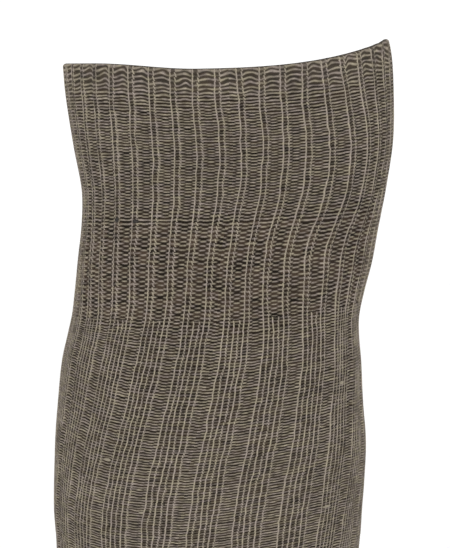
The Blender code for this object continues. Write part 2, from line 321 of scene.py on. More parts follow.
def make_cloth(name, outer, inner, step, around, material, tip=None):
    """One closed piece of cloth from a fine outer grid and a coarse inner grid.

    outer and inner are dictionaries of arrays on (rows, columns): place in millimetres,
    knit for needles and courses, sway, closed, spread and bar. step says how many outer
    rows and columns go to one inner one. A piece that goes around has its last column on
    its first. A tip is a pair of places that shut the last rows of a pocket: a fan, each
    triangle of which has its own corner on the maps.
    """
    rows, columns = outer["place"].shape[:2]
    inner_rows, inner_columns = inner["place"].shape[:2]
    whole = rows * columns
    fine = np.arange(whole).reshape(rows, columns)
    coarse = whole + np.arange(inner_rows * inner_columns).reshape(inner_rows, inner_columns)
    layers = {key: np.concatenate([
        side[key].reshape(side["place"].size // 3, -1) for side in (outer, inner)
    ]) for key in outer}
    # The flat map holds the outer grid below and the inner grid above.
    baked = np.concatenate([
        flat_map(rows, columns, 0.004, 0.83), flat_map(inner_rows, inner_columns, 0.87, 0.99)])
    edges = [strip(coarse[0], fine[0], step[1], False)]
    if tip is None:
        edges.append(strip(coarse[-1], fine[-1], step[1], True))
    if not around:
        edges.append(strip(coarse[:, 0], fine[:, 0], step[0], True))
        edges.append(strip(coarse[:, -1], fine[:, -1], step[0], False))
    to_vertex = np.arange(len(baked))
    if around:
        to_vertex[fine[:, -1]], to_vertex[coarse[:, -1]] = fine[:, 0], coarse[:, 0]
    for place, last, turn in zip(tip or (), (fine[-1], coarse[-1]), (-1, 1)):
        start, pair = len(baked), (last[1:], last[:-1])
        middles = {key: (value[pair[0]] + value[pair[1]]) / 2 for key, value in layers.items()}
        middles["place"][:] = place
        middles["knit"][:, 1] -= 2
        layers = {key: np.concatenate([value, middles[key]]) for key, value in layers.items()}
        baked = np.concatenate([baked, (baked[pair[0]] + baked[pair[1]]) / 2 + (0, 0.005)])
        to_vertex = np.concatenate([to_vertex, np.full(len(last) - 1, start)])
        edges.append(np.stack([*pair, start + np.arange(len(last) - 1)], axis=-1)[:, ::turn])
    squares = np.concatenate([quads(fine), quads(coarse)[:, ::-1]])
    triangles = np.concatenate(edges)
    corners = np.concatenate([squares.ravel(), triangles.ravel()])
    used, vertex = np.unique(to_vertex[corners], return_inverse=True)
    points = layers["place"][used] * MM
    order = face_out(points, vertex, len(squares))
    vertex, corners = vertex[order], corners[order]
    counts = np.repeat([4, 3], [len(squares), len(triangles)])

    mesh = bpy.data.meshes.new(name)
    mesh.vertices.add(len(points))
    mesh.loops.add(len(vertex))
    mesh.polygons.add(len(counts))
    mesh.vertices.foreach_set("co", points.astype(np.float32).ravel())
    mesh.loops.foreach_set("vertex_index", vertex.astype(np.int32))
    mesh.polygons.foreach_set("loop_start", (np.cumsum(counts) - counts).astype(np.int32))
    mesh.update(calc_edges=True)
    for key, chart in (("knit", layers["knit"]), ("OFBake", baked)):
        layer = mesh.uv_layers.new(name=key)
        layer.uv.foreach_set("vector", chart[corners].astype(np.float32).ravel())
    mesh.uv_layers.active = mesh.uv_layers["knit"]
    mesh.uv_layers["knit"].active_render = True
    for key in ("sway", "closed", "spread", "bar"):
        layer = mesh.attributes.new(key, "FLOAT", "POINT")
        layer.data.foreach_set("value", layers[key][used, 0].astype(np.float32))
    mesh.shade_smooth()
    mesh.set_sharp_from_angle(angle=math.radians(75))
    mesh.materials.append(material)
    return add_object(name, mesh)


def feed(tree, sockets, values):
    """Each socket in turn linked to another socket, or set to a colour or a number."""
    for socket, value in zip(sockets, values):
        if isinstance(value, bpy.types.NodeSocket):
            tree.links.new(value, socket)
        else:
            socket.default_value = (*value, 1.0) if isinstance(value, tuple) else value


def calc(tree, operation, *values):
    """A Math node fed with sockets or numbers, and its result."""
    node = tree.nodes.new("ShaderNodeMath")
    node.operation = operation
    feed(tree, node.inputs, values)
    return node.outputs[0]


def between(tree, share, low, high):
    """The value on the way from low, where the share is 0, to high, where it is 1."""
    node = tree.nodes.new("ShaderNodeMix")
    node.clamp_factor = False
    feed(tree, (node.inputs[0], node.inputs[2], node.inputs[3]), (share, low, high))
    return node.outputs[0]


def blend(tree, kind, share, colour, other):
    """A colour mixed with another in one of the Mix node's ways."""
    node = tree.nodes.new("ShaderNodeMix")
    node.data_type = "RGBA"
    node.blend_type = kind
    feed(tree, (node.inputs[0], node.inputs[6], node.inputs[7]), (share, colour, other))
    return node.outputs[2]


def fade(tree, value, low, high, to_low=0.0, to_high=1.0):
    """A smooth step from to_low at low to to_high at high."""
    node = tree.nodes.new("ShaderNodeMapRange")
    node.interpolation_type = "SMOOTHSTEP"
    tree.links.new(value, node.inputs["Value"])
    node.inputs["From Min"].default_value = low
    node.inputs["From Max"].default_value = high
    node.inputs["To Min"].default_value = to_low
    node.inputs["To Max"].default_value = to_high
    return node.outputs["Result"]


def grain(tree, x, y, across, up, detail=1.0):
    """Smooth noise from 0 to 1 on a stretched plane of two coordinates."""
    place = tree.nodes.new("ShaderNodeCombineXYZ")
    tree.links.new(calc(tree, "MULTIPLY", x, across), place.inputs[0])
    tree.links.new(calc(tree, "MULTIPLY", y, up), place.inputs[1])
    noise = tree.nodes.new("ShaderNodeTexNoise")
    noise.inputs["Scale"].default_value = 1.0
    noise.inputs["Detail"].default_value = detail
    tree.links.new(place.outputs[0], noise.inputs["Vector"])
    return noise.outputs["Fac"]


def chance(tree, x, y):
    """A number from 0 to 1 that is fixed for each pair of whole numbers."""
    place = tree.nodes.new("ShaderNodeCombineXYZ")
    tree.links.new(x, place.inputs[0])
    tree.links.new(y, place.inputs[1])
    noise = tree.nodes.new("ShaderNodeTexWhiteNoise")
    noise.noise_dimensions = "2D"
    tree.links.new(place.outputs[0], noise.inputs["Vector"])
    return noise.outputs["Value"]


def knit_group():
    """The node group that draws the yarn of a rib knit over needles and courses.

    The needle's place across gives two lines, the sides of its knit stitch: the left one
    even, the right one in short slanted runs. Between them bars of yarn cross at every
    course. In a purl band the middle of a bar is shifted up or down by the sway, in a
    quick step a third of the way in, and on that step the bar is thinned so that the dark
    gap shows through: a painted shade of the steep part. Outputs: how much yarn lies at a
    point, its height, how light it is (with painted shade over the fold of the rim), how
    light the painted shade in the gap is and which of the yarn's two shades shows.
    """
    tree = bpy.data.node_groups.new("knit_yarns", "ShaderNodeTree")
    for name, start in (("Needle", 0), ("Course", 0), ("Repeat", 2), ("Sway", 0),
                        ("Closed", 0), ("Spread", 1), ("Bar", 0.37), ("Zigzag", 0.05)):
        socket = tree.interface.new_socket(name, in_out="INPUT", socket_type="NodeSocketFloat")
        socket.default_value = start
    for name in ("Yarn", "Height", "Light", "Gap_Shade", "Shade"):
        tree.interface.new_socket(name, in_out="OUTPUT", socket_type="NodeSocketFloat")
    given = tree.nodes.new("NodeGroupInput").outputs
    result = tree.nodes.new("NodeGroupOutput").inputs
    needle, course, repeat = given["Needle"], given["Course"], given["Repeat"]

    number = calc(tree, "ROUND", needle)
    across = calc(tree, "SUBTRACT", needle, number)
    inside = calc(tree, "FLOORED_MODULO", needle, repeat)
    away = calc(tree, "MINIMUM", inside, calc(tree, "SUBTRACT", repeat, inside))
    rib = calc(tree, "ROUND", calc(tree, "DIVIDE", needle, repeat))
    band = fade(tree, away, BAND_HALF - 0.08, BAND_HALF + 0.02, 1.0, 0.0)
    knits = fade(tree, away, 0.46, 0.50)
    stitch = calc(tree, "FLOOR", course)
    within = calc(tree, "SUBTRACT", course, stitch)

    # The two sides of the knit stitch: both wander and ripple as they go up, drift apart
    # and together, and start again at each course after a jump.
    wander = between(tree, grain(tree, number, course, 7.1, 0.09), -0.2, 0.2)
    ripple = between(tree, grain(tree, number, course, 9.7, 0.55), -0.07, 0.07)
    drift = between(tree, grain(tree, number, course, 3.7, 0.27), -0.08, 0.08)
    uneven = between(tree, grain(tree, number, course, 11.3, 0.45), -0.3, 2.3)
    across = calc(tree, "ADD", across, calc(tree, "ADD", wander, ripple))
    place = calc(tree, "MULTIPLY", given["Spread"], LINE_PLACE)
    jump = calc(tree, "MULTIPLY", between(tree, within, 1.0, -1.0), given["Zigzag"])
    jump = calc(tree, "MULTIPLY", jump, uneven)
    left = calc(tree, "MULTIPLY_ADD", drift, 0.5, calc(tree, "ADD", across, place))
    left = calc(tree, "MULTIPLY_ADD", jump, -0.35, left)
    right = calc(tree, "SUBTRACT", calc(tree, "SUBTRACT", across, place), drift)
    right = calc(tree, "SUBTRACT", right, jump)
    left_line = fade(tree, calc(tree, "ABSOLUTE", left), 0.015, 0.108, 1.0, 0.0)
    right_line = fade(tree, calc(tree, "ABSOLUTE", right), 0.01, 0.11, 1.0, 0.0)
    slant = calc(tree, "ABSOLUTE", between(tree, within, -1.0, 1.0))
    run = between(tree, chance(tree, number, stitch), 0.8, 1.1)
    run = calc(tree, "MULTIPLY_ADD", calc(tree, "POWER", slant, 3.0), -0.2, run)
    lines = calc(tree, "MAXIMUM", left_line, calc(tree, "MULTIPLY", right_line, run))
    lines = calc(tree, "MULTIPLY", lines, knits)

    # The bars between them, one at each course. In a purl band the middle of a bar lies
    # apart from its two ends by twice the sway, and near the rim it bows in one piece.
    share = calc(tree, "MINIMUM", calc(tree, "DIVIDE", away, BAND_HALF), 1.0)
    whole = fade(tree, course, 61.0, 66.0)
    broken = calc(tree, "SUBTRACT", 1.0, whole)
    bow = calc(tree, "COSINE", calc(tree, "MULTIPLY", share, math.pi))
    bow = calc(tree, "MULTIPLY", whole, bow)
    sway = between(tree, grain(tree, rib, course, 3.1, 0.33), -0.3, 0.3)
    sway = calc(tree, "ADD", given["Sway"], sway)
    wave = between(tree, grain(tree, needle, course, 0.9, 0.45), -0.5, 0.5)
    wave = calc(tree, "MULTIPLY", wave, between(tree, whole, 0.4, 0.9))
    start = calc(tree, "ADD", course, wave)

    def bar_at(side):
        """How much of a bar lies here in the middle (1) or at the ends (-1), and its number."""
        bend = calc(tree, "MULTIPLY_ADD", broken, side, bow)
        phase = calc(tree, "MULTIPLY_ADD", bend, sway, start)
        count = calc(tree, "FLOOR", phase)
        off = calc(tree, "SUBTRACT", calc(tree, "SUBTRACT", phase, count), 0.5)
        off = calc(tree, "ADD", off, between(tree, chance(tree, rib, count), -0.08, 0.08))
        off = calc(tree, "DIVIDE", calc(tree, "ABSOLUTE", off), given["Bar"])
        return fade(tree, off, 0.1, 1.0, 1.0, 0.0), count

    middle_bar = bar_at(1.0)[0]
    end_bar, bar_number = bar_at(-1.0)
    bar = between(tree, fade(tree, share, 0.28, 0.58), middle_bar, end_bar)
    luck_here = chance(tree, number, bar_number)
    piece = grain(tree, needle, bar_number, 1.6, 7.7)
    # On the step a bar is thinned so that the dark gap colour shows: painted shade of its steep
    # part.
    step = fade(tree, calc(tree, "ABSOLUTE", calc(tree, "SUBTRACT", share, 0.43)), 0.0, 0.22,
                1.0, 0.0)
    step_shade = calc(tree, "MULTIPLY", calc(tree, "MULTIPLY", step, broken),
               calc(tree, "MULTIPLY", calc(tree, "ABSOLUTE", sway), 1.2))
    full = calc(tree, "SUBTRACT", between(tree, piece, 0.3, 1.2), calc(tree, "MINIMUM", step_shade, 0.6))
    thin = between(tree, luck_here, 0.18, 0.63)
    bars = calc(tree, "MULTIPLY", bar, between(tree, band, thin, full))

    # Where the knit lies close, yarn shows in the gaps too.
    floor = calc(tree, "MULTIPLY", given["Closed"], between(tree, luck_here, 0.52, 0.74))
    yarn = calc(tree, "MAXIMUM", calc(tree, "MAXIMUM", lines, bars), floor)
    tree.links.new(yarn, result["Yarn"])
    height = calc(tree, "MAXIMUM", lines, calc(tree, "MULTIPLY", bar, 0.7))
    tree.links.new(height, result["Height"])

    # Thick and thin places run up the lines and along the bars, and fibres speckle both.
    # Over the fold of the rim the yarn is darkened: painted shade.
    slub = between(tree, lines, piece, grain(tree, number, course, 5.3, 0.7, 2.0))
    patch = grain(tree, needle, course, 0.11, 0.06, 2.0)
    fibre = grain(tree, needle, course, 9.0, 3.3)
    light = between(tree, slub, 0.62, 1.32)
    light = calc(tree, "MULTIPLY", light, between(tree, patch, 0.8, 1.2))
    light = calc(tree, "MULTIPLY", light, between(tree, fibre, 0.75, 1.25))
    # Painted shade over the fold of the rim.
    light = calc(tree, "MULTIPLY", light, fade(tree, course, 70.3, 71.3, 1.0, 0.3))
    tree.links.new(light, result["Light"])
    # How light the painted shade in a gap is, at random.
    tree.links.new(between(tree, chance(tree, bar_number, number), 0.2, 1.5), result["Gap_Shade"])
    tree.links.new(grain(tree, needle, bar_number, 0.8, 3.9), result["Shade"])
    return tree


YARNS = knit_group()
# The gap colour is painted shade, where shade falls between the yarns.
KHAKI, GREY, GAP_SHADE = (0.328, 0.287, 0.210), (0.307, 0.260, 0.226), (0.021, 0.0138, 0.0088)


def matt_material(name):
    """A new material without shine, as spun yarn is, with its node tree and its shader."""
    material = bpy.data.materials.new(name)
    material.use_nodes = True
    shader = material.node_tree.nodes["Principled BSDF"]
    shader.inputs["Roughness"].default_value = 0.93
    shader.inputs["Specular IOR Level"].default_value = 0.06
    return material, material.node_tree, shader


def knit_material(name, repeat, zigzag, gap_shade_colour=GAP_SHADE):
    """Matt spun yarn of two shades over gaps coloured dark as painted shade, drawn on the piece's
    own map.
    """
    material, tree, shader = matt_material(name)
    shader.inputs["Sheen Weight"].default_value = 0.05
    shader.inputs["Sheen Roughness"].default_value = 0.6
    shader.inputs["Sheen Tint"].default_value = (0.8, 0.72, 0.6, 1.0)
    chart = tree.nodes.new("ShaderNodeUVMap")
    chart.uv_map = "knit"
    parts = tree.nodes.new("ShaderNodeSeparateXYZ")
    tree.links.new(chart.outputs["UV"], parts.inputs[0])
    group = tree.nodes.new("ShaderNodeGroup")
    group.node_tree = YARNS
    tree.links.new(parts.outputs["X"], group.inputs["Needle"])
    tree.links.new(parts.outputs["Y"], group.inputs["Course"])
    group.inputs["Repeat"].default_value = repeat
    group.inputs["Zigzag"].default_value = zigzag
    for key in ("Sway", "Closed", "Spread", "Bar"):
        reader = tree.nodes.new("ShaderNodeAttribute")
        reader.attribute_name = key.lower()
        tree.links.new(reader.outputs["Fac"], group.inputs[key])
    shade = fade(tree, group.outputs["Shade"], 0.35, 0.65)
    fibre = blend(tree, "MIX", shade, KHAKI, GREY)
    fibre = blend(tree, "MULTIPLY", 1.0, fibre, group.outputs["Light"])
    # The gaps take the painted shade, lighter or darker at random.
    painted_gap_shade = blend(tree, "MULTIPLY", 1.0, gap_shade_colour, group.outputs["Gap_Shade"])
    colour = blend(tree, "MIX", group.outputs["Yarn"], painted_gap_shade, fibre)
    tree.links.new(colour, shader.inputs["Base Color"])
    bump = tree.nodes.new("ShaderNodeBump")
    bump.inputs["Strength"].default_value = 0.5
    bump.inputs["Distance"].default_value = 0.3 * MM
    tree.links.new(group.outputs["Height"], bump.inputs["Height"])
    tree.links.new(bump.outputs["Normal"], shader.inputs["Normal"])
    return material


def course_pitch(course):
    """Millimetres of height to one course."""
    return along(COURSES, course + 0.5)[..., 1] - along(COURSES, course - 0.5)[..., 1]


def closed_share(angle, course):
    """How close the knit lies: more at the very front and back, most around the boundary."""
    front = np.cos(angle)
    share = 0.5 * smooth(0.92, 0.99, -front) + 0.45 * smooth(0.935, 0.985, front)
    share = share * np.interp(course, [-110.0, -40.0, -10.0, 10.0, 30.0, 60.0],
                              [0.4, 0.8, 1.0, 0.9, 0.6, 0.5])
    return np.maximum(share, 0.15 * smooth(63, 67, course))


def leg_side(needle, course, out, sway, above=0.0, spread=1.0):
    """The arrays of one side of a piece above the foot, as make_cloth takes them."""
    needle, course, sway, spread = np.broadcast_arrays(needle, course, sway, spread)
    bar = BAR_HALF * (1 + RIM_BARS * smooth(60, 66, course)) / course_pitch(course) ** BAR_POWER
    return {
        "place": leg_place(needle, course, out, above),
        "knit": np.stack([needle, course], axis=-1),
        "sway": sway,
        "closed": closed_share(round_angle(needle), course),
        "spread": spread,
        "bar": bar,
    }


def needle_columns(first, last, each):
    """Places round the sock from one needle to another, each one divided evenly."""
    return np.linspace(first, last, round((last - first) * each) + 1)[None, :]


def course_rows(first, last, each):
    """Places along the sock from one course to another, each one divided evenly."""
    return np.linspace(first, last, round(abs(last - first) * each) + 1)[:, None]


def bar_sway(course):
    """How far a bar bends down mid-band, in courses: up at the rim, down in the cuff."""
    places = [-300.0, -60.0, -25.0, -4.0, 2.0, 21.0, 22.5, 23.5, 25.0, 40.0, 58.0, 66.0, 72.0]
    sways = [0.08, 0.08, 0.13, 0.16, 0.25, 0.22, 0.06, 0.06, 0.20, 0.20, 0.12, -0.16, -0.20]
    return np.interp(course, places, sways)


# The outer face goes over the fold in a half circle, its courses counting on. Inside they
# count on down to the hem, and a knit wale lies behind each purl wale.
FOLD_RADIUS = (WELT_CLOTH + RIDGE_RISE) / 2
FOLD_PITCH = 1.9          # millimetres of cloth to a course over the fold
FOLD_COURSES = 3.4        # courses that the fold takes
OUTER_EACH, INNER_EACH = 4, 0.5         # rows of the mesh to a course, outside and inside
STEP = (8, 4)             # outer rows and columns to one inner row and column
welt_material = knit_material("welt_yarn", WELT_REPEAT, 0.065)
needle, inner_needle = needle_columns(0, NEEDLES, 4), needle_columns(0, NEEDLES, 1)
fold = np.linspace(0, np.pi, 9)[1:, None]
course = course_rows(HEM_COURSE, RIM_COURSE, OUTER_EACH)
over = np.concatenate([0 * course, fold])
course = np.concatenate([course, RIM_COURSE + fold * FOLD_RADIUS / FOLD_PITCH])
stand = relief(needle, course, WELT_REPEAT, WELT_RIB, bar_sway(course))
out = (FOLD_RADIUS + stand) * np.cos(over) - FOLD_RADIUS
welt_outer = leg_side(needle, np.minimum(course, RIM_COURSE), out, bar_sway(course),
                      FOLD_RADIUS * np.sin(over))
welt_outer["knit"] = np.stack(np.broadcast_arrays(needle, course), axis=-1)
course = course_rows(HEM_COURSE, RIM_COURSE - 1, INNER_EACH)
welt_inner = leg_side(inner_needle, course, -2 * FOLD_RADIUS, bar_sway(course))
welt_inner["knit"] = np.stack(np.broadcast_arrays(
    inner_needle + 1, 2 * RIM_COURSE + FOLD_COURSES - course), axis=-1)
welt = make_cloth("welt_cloth", welt_outer, welt_inner, STEP, True, welt_material)
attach(welt, "root")
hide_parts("welt")

# ---------------------------------------------------------------------------------------
# The cuff: the same single rib in one layer, below the welt. It is the narrowest and most
# stretched place, so its bars lie wide apart and bend down between the knit wales.
# ---------------------------------------------------------------------------------------
CLOTH = 1.2               # one layer, without its ribs
# The cuff's gaps have a lighter painted shade.
CUFF_GAP_SHADE = (0.036, 0.0245, 0.0168)
cuff_material = knit_material("cuff_yarn", WELT_REPEAT, 0.09, CUFF_GAP_SHADE)
course = course_rows(0, HEM_COURSE, OUTER_EACH)
stand = relief(needle, course, WELT_REPEAT, WELT_RIB, bar_sway(course))
cuff_outer = leg_side(needle, course, stand, bar_sway(course))
course = course_rows(0, HEM_COURSE, INNER_EACH)
cuff_inner = leg_side(inner_needle, course, -WELT_RIB - CLOTH, bar_sway(course))
cuff = make_cloth("cuff_cloth", cuff_outer, cuff_inner, STEP, True, cuff_material)
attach(cuff, "root")
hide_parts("cuff")

# ---------------------------------------------------------------------------------------
# The leg: one tube of the same yarn from the cuff to the ankle, in ribs of three knit
# wales and one purl wale. It is made in three lengths, which meet edge to edge.
# ---------------------------------------------------------------------------------------
LEG_REPEAT = 4            # one purl needle in four
LEG_RIB = 0.8
LEG_END = -272.0
START_SPREAD, START_COURSES = 0.3, 1.2  # the middle wale of a rib begins this much wider
# Name, first and last course, rows of the mesh to a course.
LEG_LENGTHS = [("leg_cloth_calf", 0.0, -88.0, 3), ("leg_cloth_shin", -88.0, -180.0, 2),
               ("leg_cloth_ankle", -180.0, LEG_END, 2)]
leg_material = knit_material("leg_yarn", LEG_REPEAT, 0.05)
for name, top, bottom, rows_each in LEG_LENGTHS:
    columns_each = rows_each + 1
    needle = needle_columns(0, NEEDLES, columns_each)
    course = course_rows(top, bottom, rows_each)
    middle_wale = np.abs(np.mod(needle, LEG_REPEAT) - 2) < 0.6
    spread = 1 + middle_wale * START_SPREAD * np.exp(course / START_COURSES)
    stand = relief(needle, course, LEG_REPEAT, LEG_RIB, bar_sway(course), spread)
    leg_outer = leg_side(needle, course, stand, bar_sway(course), spread=spread)
    leg_inner = leg_side(inner_needle, course_rows(top, bottom, 0.25), -LEG_RIB - CLOTH, 0.1)
    length = make_cloth(name, leg_outer, leg_inner, (4 * rows_each, columns_each), True,
                        leg_material)
    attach(length, "root")
    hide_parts("leg")

# ---------------------------------------------------------------------------------------
# Two knots, where the yarn that links the welt down was tied off, and a few slubs in the
# leg, thick places in the spun yarn. Each is a small lump on the face of the cloth.
# ---------------------------------------------------------------------------------------
# Needle, course, half width in needles, half height in courses, stand in millimetres.
KNOTS = [(77.0, 23.6, 0.29, 0.75, 0.9), (79.1, 23.2, 0.34, 0.55, 0.8)]
SLUBS = [(80.1, -48.2, 0.42, 0.55, 0.35), (13.5, -71.7, 0.6, 0.65, 0.42),
         (14.2, -26.6, 0.45, 0.8, 0.4), (84.6, -66.2, 0.34, 0.5, 0.25),
         (40.4, -95.3, 0.4, 0.6, 0.3), (60.2, -140.2, 0.4, 0.6, 0.3),
         (23.8, -188.6, 0.4, 0.6, 0.3)]
LUMP_SUNK = 0.25          # how deep a lump's middle lies in the cloth


def lumps(name, places, material):
    """Closed lumps on the cloth: spheres of 10 by 16 points squeezed to the sizes given.

    The latitude runs down the cloth and the longitude round its long axis. Every point is
    laid by leg_place, so a lump follows the curve of the cloth.
    """
    latitude = np.linspace(0, np.pi, 10)[:, None]
    longitude = np.linspace(0, 2 * np.pi, 17)[None, :-1]
    points, faces = [], []
    for needle, course, half_width, half_height, stand in places:
        needles = needle + half_width * np.sin(latitude) * np.cos(longitude)
        courses = course + half_height * np.cos(latitude) + 0 * longitude
        raised = stand * np.sin(latitude) * np.sin(longitude) - LUMP_SUNK
        numbers = np.arange(needles.size).reshape(needles.shape) + needles.size * len(points)
        numbers = np.concatenate([numbers, numbers[:, :1]], axis=1)
        numbers[0], numbers[-1] = numbers[0, 0], numbers[-1, 0]
        points.append(leg_place(needles, courses, raised).reshape(-1, 3))
        middle = quads(numbers[1:-1])
        first = np.stack([numbers[0, :-1], numbers[1, 1:], numbers[1, :-1]], axis=-1)
        last = np.stack([numbers[-1, :-1], numbers[-2, :-1], numbers[-2, 1:]], axis=-1)
        faces += middle.tolist() + first.tolist() + last.tolist()
    mesh = bpy.data.meshes.new(name)
    mesh.from_pydata((np.concatenate(points) * MM).tolist(), [], faces)
    mesh.update()
    mesh.shade_smooth()
    mesh.materials.append(material)
    return add_object(name, mesh)


def spun_material(name, pale, dark):
    """Fuzzy spun yarn seen close by: two shades in specks, on object coordinates."""
    material, tree, shader = matt_material(name)
    coordinates = tree.nodes.new("ShaderNodeTexCoord")
    noise = tree.nodes.new("ShaderNodeTexNoise")
    noise.inputs["Scale"].default_value = 2600.0
    tree.links.new(coordinates.outputs["Object"], noise.inputs["Vector"])
    ramp = tree.nodes.new("ShaderNodeMapRange")
    ramp.inputs["From Min"].default_value, ramp.inputs["From Max"].default_value = 0.35, 0.65
    tree.links.new(noise.outputs["Fac"], ramp.inputs["Value"])
    colour = blend(tree, "MIX", ramp.outputs["Result"], dark, pale)
    tree.links.new(colour, shader.inputs["Base Color"])
    return material


knots = lumps("hem_knots", KNOTS, spun_material(
    "knot_yarn", (0.055, 0.050, 0.046), (0.020, 0.018, 0.016)))
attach(knots, "root")
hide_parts("welt")
slubs = lumps("leg_slubs", SLUBS, spun_material(
    "slub_yarn", (0.30, 0.265, 0.20), (0.20, 0.175, 0.135)))
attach(slubs, "root")
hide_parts("leg")

# ---------------------------------------------------------------------------------------
# The instep: the front half of the same tube, which goes on in the leg's rib over the
# ankle and along the top of the foot to the toe. Its edges lie in purl wales.
# ---------------------------------------------------------------------------------------
PIVOT_X, PIVOT_Z = 62.0, LEG_END    # the fold of the ankle, about which the heel turns
SOLE_Z = -387.0
SOLE_POWER = 0.7                    # flattens the underside
TOE_LINE, TOE_TIP = 150.0, 192.0    # where the toe begins and ends
TURN_COURSES, FOOT_COURSES = 68, 84     # round the bend of the ankle, and along the foot
FOOT_PITCH = (TOE_LINE - PIVOT_X) / FOOT_COURSES
FOOT_ROWS = 2 * FOOT_COURSES        # rows of the mesh along the foot
FOOT_SWAY, FOOT_BAR = 0.06, 0.40
HALF_ROUND = NEEDLES // 2           # needles in the instep, and in the heel and the sole

# Sections of the heel, fanned about the pivot: tilt, near side, far side, half width.
HEEL = np.array([
    (0, 25.8, 99.0, 31.8),
    (9, 26.2, 101.5, 32.3),
    (18, 27.0, 107.5, 33.2),
    (27, 28.3, 121.0, 33.8),
    (35, 30.0, 137.5, 33.4),
    (42, 31.8, 147.0, 32.8),
    (49, 33.8, 146.0, 33.0),
    (57, 36.2, 136.5, 34.0),
    (66, 39.0, 126.0, 35.4),
    (78, 42.4, 117.6, 37.0),
    (90, 45.0, 115.0, 38.6),
])
# Upright sections of the foot: place along it, underside, top, half width.
FOOT = np.array([
    (62.0, 0.0, 70.0, 38.6),
    (80.0, 0.0, 63.8, 41.0),
    (98.0, 0.0, 57.6, 43.6),
    (116.0, 0.0, 51.4, 45.8),
    (134.0, 0.0, 45.4, 46.6),
    (150.0, 0.2, 40.0, 45.6),
    (163.0, 0.6, 35.2, 42.2),
    (174.0, 1.4, 30.4, 36.6),
    (182.0, 2.6, 26.0, 29.6),
    (187.5, 4.2, 22.0, 22.2),
    (190.8, 6.6, 18.0, 14.0),
    (192.0, 9.6, 14.4, 5.0),
])


def foot_place(needle, station, out):
    """Places on the foot for needles and stations, moved out from the section's size.

    A station up to 90 is a tilt of the fan about the ankle's pivot in degrees. Beyond it,
    each unit is a millimetre along the foot from the end of the fan.
    """
    tilt = np.radians(np.minimum(station, 90.0))
    fan = along(HEEL, np.minimum(station, 90.0))
    near, far = fan[..., 1], fan[..., 2]
    middle = (near + far) / 2
    ahead = PIVOT_X + np.maximum(station - 90.0, 0.0)
    row = along(FOOT, ahead)
    under, top = row[..., 1], row[..., 2]
    on_foot = station > 90
    x = np.where(on_foot, ahead, PIVOT_X - middle * np.cos(tilt))
    z = np.where(on_foot, SOLE_Z + (under + top) / 2, PIVOT_Z - middle * np.sin(tilt))
    deep = np.where(on_foot, (top - under) / 2, (far - near) / 2)
    wide = np.where(on_foot, row[..., 3], fan[..., 3])
    power = np.where(on_foot, SOLE_POWER, 1 - (1 - SOLE_POWER) * np.sin(tilt) ** 4)
    return wall(x, z, tilt, deep, wide, power, round_angle(needle), out)


def foot_side(needle, station, chart, out, closed):
    """The arrays of one side of a foot piece, its pattern laid by the chart given."""
    needle, station, closed = np.broadcast_arrays(needle, station, closed)
    return {
        "place": foot_place(needle, station, out),
        "knit": np.stack(np.broadcast_arrays(*chart), axis=-1),
        "sway": np.full(needle.shape, FOOT_SWAY),
        "closed": closed,
        "spread": np.ones(needle.shape),
        "bar": np.full(needle.shape, FOOT_BAR),
    }


def strided(grid, step):
    """Every step-th entry of a row or column of places."""
    return grid[::step[0]] if grid.shape[1] == 1 else grid[:, ::step[1]]


def foot_cloth(name, needle, station, chart_of, repeat, rib, step, closed, material, extra=0.0):
    """A piece of the foot: its outer side with the knit's relief, its smooth inner side.

    What stands out in extra, such as a seam line, also lies closer.
    """
    chart = np.broadcast_arrays(*chart_of(needle, station))
    stand = relief(*chart, repeat, rib, FOOT_SWAY) + extra
    outer = foot_side(needle, station, chart, stand, closed + extra)
    needle, station = strided(needle, step), strided(station, step)
    inner = foot_side(needle, station, chart_of(needle, station), -rib - CLOTH, closed)
    return make_cloth(name, outer, inner, step, False, material)


def instep_chart(needle, station):
    """Needles as they are, and courses even over the bend and then along the foot."""
    bend = np.minimum(station, 90.0) / 90 * TURN_COURSES
    return needle, LEG_END - bend - np.maximum(station - 90.0, 0.0) / FOOT_PITCH


instep_material = knit_material("instep_yarn", LEG_REPEAT, 0.04)
foot_stations = 90 + np.linspace(0, TOE_LINE - PIVOT_X, FOOT_ROWS + 1)[:, None]
bend_stations = np.linspace(0, 90, 2 * TURN_COURSES + 1)[:, None]
station = np.concatenate([bend_stations, foot_stations[1:]])
instep = foot_cloth("instep_cloth", needle_columns(0, HALF_ROUND, 4), station, instep_chart,
                    LEG_REPEAT, LEG_RIB, STEP, 0.2, instep_material)
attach(instep, "root")
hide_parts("instep")

# ---------------------------------------------------------------------------------------
# The heel: a pocket in plain knit, made of short rows. Its courses run level behind the
# ankle and upright under it, and both sets end on a slanting seam line on either side.
# ---------------------------------------------------------------------------------------
PLAIN = 1000                 # a repeat so long that every wale is knit
PLAIN_CLOSED, PLAIN_ZIGZAG = 0.35, 0.05
PLAIN_STEP = (12, 3)
HEEL_PITCH = 1.25
HEEL_MID_COURSES = 183       # courses from the ankle round the back to the sole
GORE_RISE, GORE_END = 0.7, 13.0      # the seam line's height, and its length in needles
GORE_WIDTH = 0.55            # its half width in degrees of the fan


def heel_chart(needle, station):
    """Courses counted by the way along the cloth from the nearer end of the pocket."""
    places = foot_place(needle, station, 0.0)
    radius = np.hypot(places[..., 0] - PIVOT_X, places[..., 2] - PIVOT_Z)
    turn = np.radians(station)
    upper = -radius * turn / HEEL_PITCH
    lower = -HEEL_MID_COURSES + radius * (np.pi / 2 - turn) / HEEL_PITCH
    return needle, LEG_END + np.where(station < 45, upper, lower)


